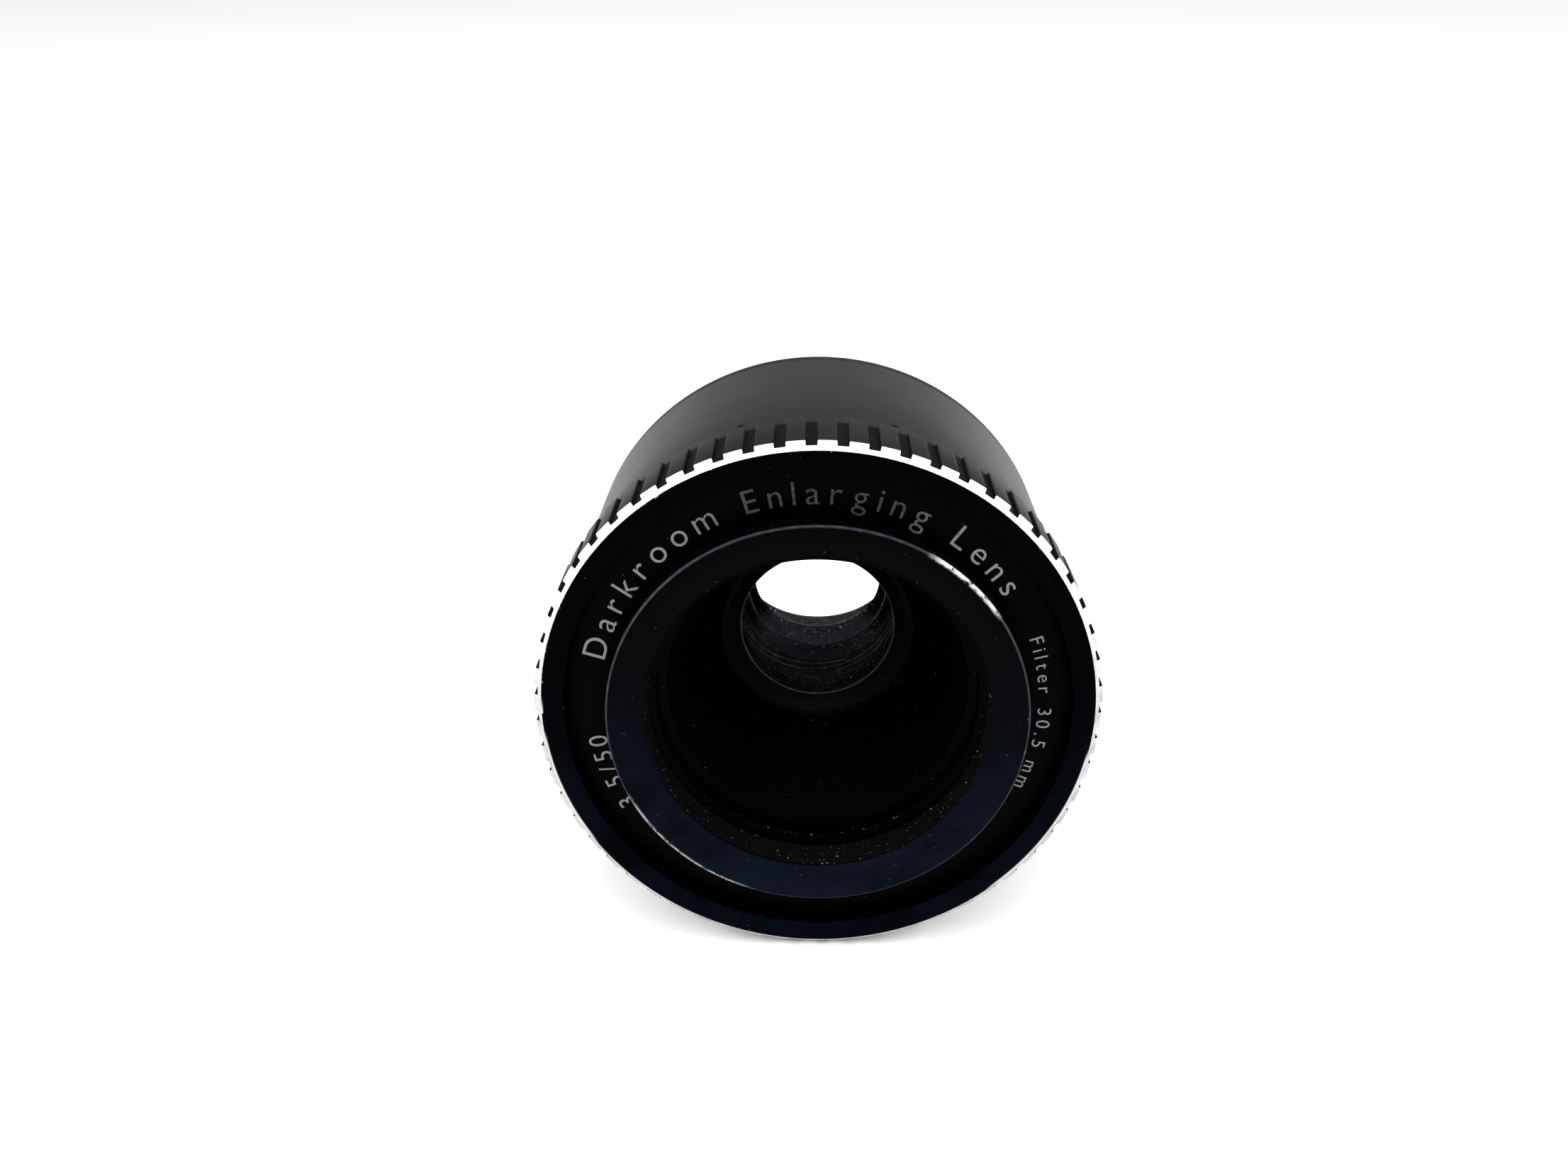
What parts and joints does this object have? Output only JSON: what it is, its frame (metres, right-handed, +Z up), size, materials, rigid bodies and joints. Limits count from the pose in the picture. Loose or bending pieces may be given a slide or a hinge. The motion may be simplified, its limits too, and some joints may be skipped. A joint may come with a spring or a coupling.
{
  "type": "enlarger lens",
  "caption": "Round lens barrel with a ribbed aperture ring, filter-threaded collar, iris and rear screw mount, for projecting a negative onto paper.",
  "frame": {"origin": "centre of the mounting shoulder, the flat rear face that rests on the lens board", "axes": "optical axis along Y; the front of the lens looks towards -Y and the mount thread towards +Y; +Z is up with the lens lying on its side"},
  "size_m": [0.0494, 0.0417, 0.0494],
  "materials": {
    "satin_barrel": "dark grey satin anodised aluminium",
    "white_paint": "white paint fill",
    "ribbed_ring": "dark grey satin anodised aluminium, bare bevel",
    "plain_aluminium": "turned, uncoated",
    "steel": "turned steel",
    "spring_steel": "spring strip",
    "black_hood": "black anodised aluminium, worn at the edges",
    "name_plate": "black, with paint-filled engraving",
    "inner_tube": "black anodised aluminium",
    "black_retainer": "matt black",
    "coated_glass": "coated optical glass",
    "iris_plate": "matt black",
    "blade_steel": "blued steel strip",
    "mount_alloy": "satin turned aluminium",
    "lock_ring": "black anodised aluminium"
  },
  "bodies": {
    "body": {"outer_barrel": "satin_barrel", "index_dot": "white_paint", "wave_washer": "spring_steel", "click_ball": "steel", "click_spring": "spring_steel", "front_hood": "black_hood", "name_ring": "name_plate", "lens_tube": "inner_tube", "front_retainer": "black_retainer", "front_element": "coated_glass", "spacer_ring": "black_retainer", "middle_element": "coated_glass", "iris_base": "iris_plate", "iris_cover": "iris_plate", "rear_cell": "black_retainer", "rear_flint_element": "coated_glass", "rear_crown_element": "coated_glass", "rear_retainer": "black_retainer", "mount_flange": "mount_alloy", "flange_screws": "steel", "flange_lock_ring": "lock_ring"},
    "ring": {"aperture_ring": "ribbed_ring", "drive_sleeve": "plain_aluminium", "sleeve_screws": "steel", "drive_screw": "steel", "iris_actuator": "iris_plate"},
    "blade_1": {"iris_blade_1": "blade_steel"},
    "blade_2": {"iris_blade_2": "blade_steel"},
    "blade_3": {"iris_blade_3": "blade_steel"},
    "blade_4": {"iris_blade_4": "blade_steel"},
    "blade_5": {"iris_blade_5": "blade_steel"}
  },
  "joints": [
    {"name": "aperture_turn", "type": "hinge", "parent": "body", "child": "ring", "pos_m": [0, -0.025, 0], "axis": [0, -1, 0], "range_deg": [0, 70.91]},
    {"name": "blade_1_turn", "type": "hinge", "parent": "body", "child": "blade_1", "pos_m": [0.00975, -0.006, 0], "axis": [0, -1, 0], "range_deg": [-0.5, 35.95]},
    {"name": "blade_2_turn", "type": "hinge", "parent": "body", "child": "blade_2", "pos_m": [0.00301, -0.006, 0.00927], "axis": [0, -1, 0], "range_deg": [-0.5, 35.95]},
    {"name": "blade_3_turn", "type": "hinge", "parent": "body", "child": "blade_3", "pos_m": [-0.00789, -0.006, 0.00573], "axis": [0, -1, 0], "range_deg": [-0.5, 35.95]},
    {"name": "blade_4_turn", "type": "hinge", "parent": "body", "child": "blade_4", "pos_m": [-0.00789, -0.006, -0.00573], "axis": [0, -1, 0], "range_deg": [-0.5, 35.95]},
    {"name": "blade_5_turn", "type": "hinge", "parent": "body", "child": "blade_5", "pos_m": [0.00301, -0.006, -0.00927], "axis": [0, -1, 0], "range_deg": [-0.5, 35.95]}
  ],
  "couplings": [
    {"joint": "blade_1_turn", "follows": "aperture_turn", "ratio": 0.5},
    {"joint": "blade_2_turn", "follows": "aperture_turn", "ratio": 0.5},
    {"joint": "blade_3_turn", "follows": "aperture_turn", "ratio": 0.5},
    {"joint": "blade_4_turn", "follows": "aperture_turn", "ratio": 0.5},
    {"joint": "blade_5_turn", "follows": "aperture_turn", "ratio": 0.5}
  ]
}
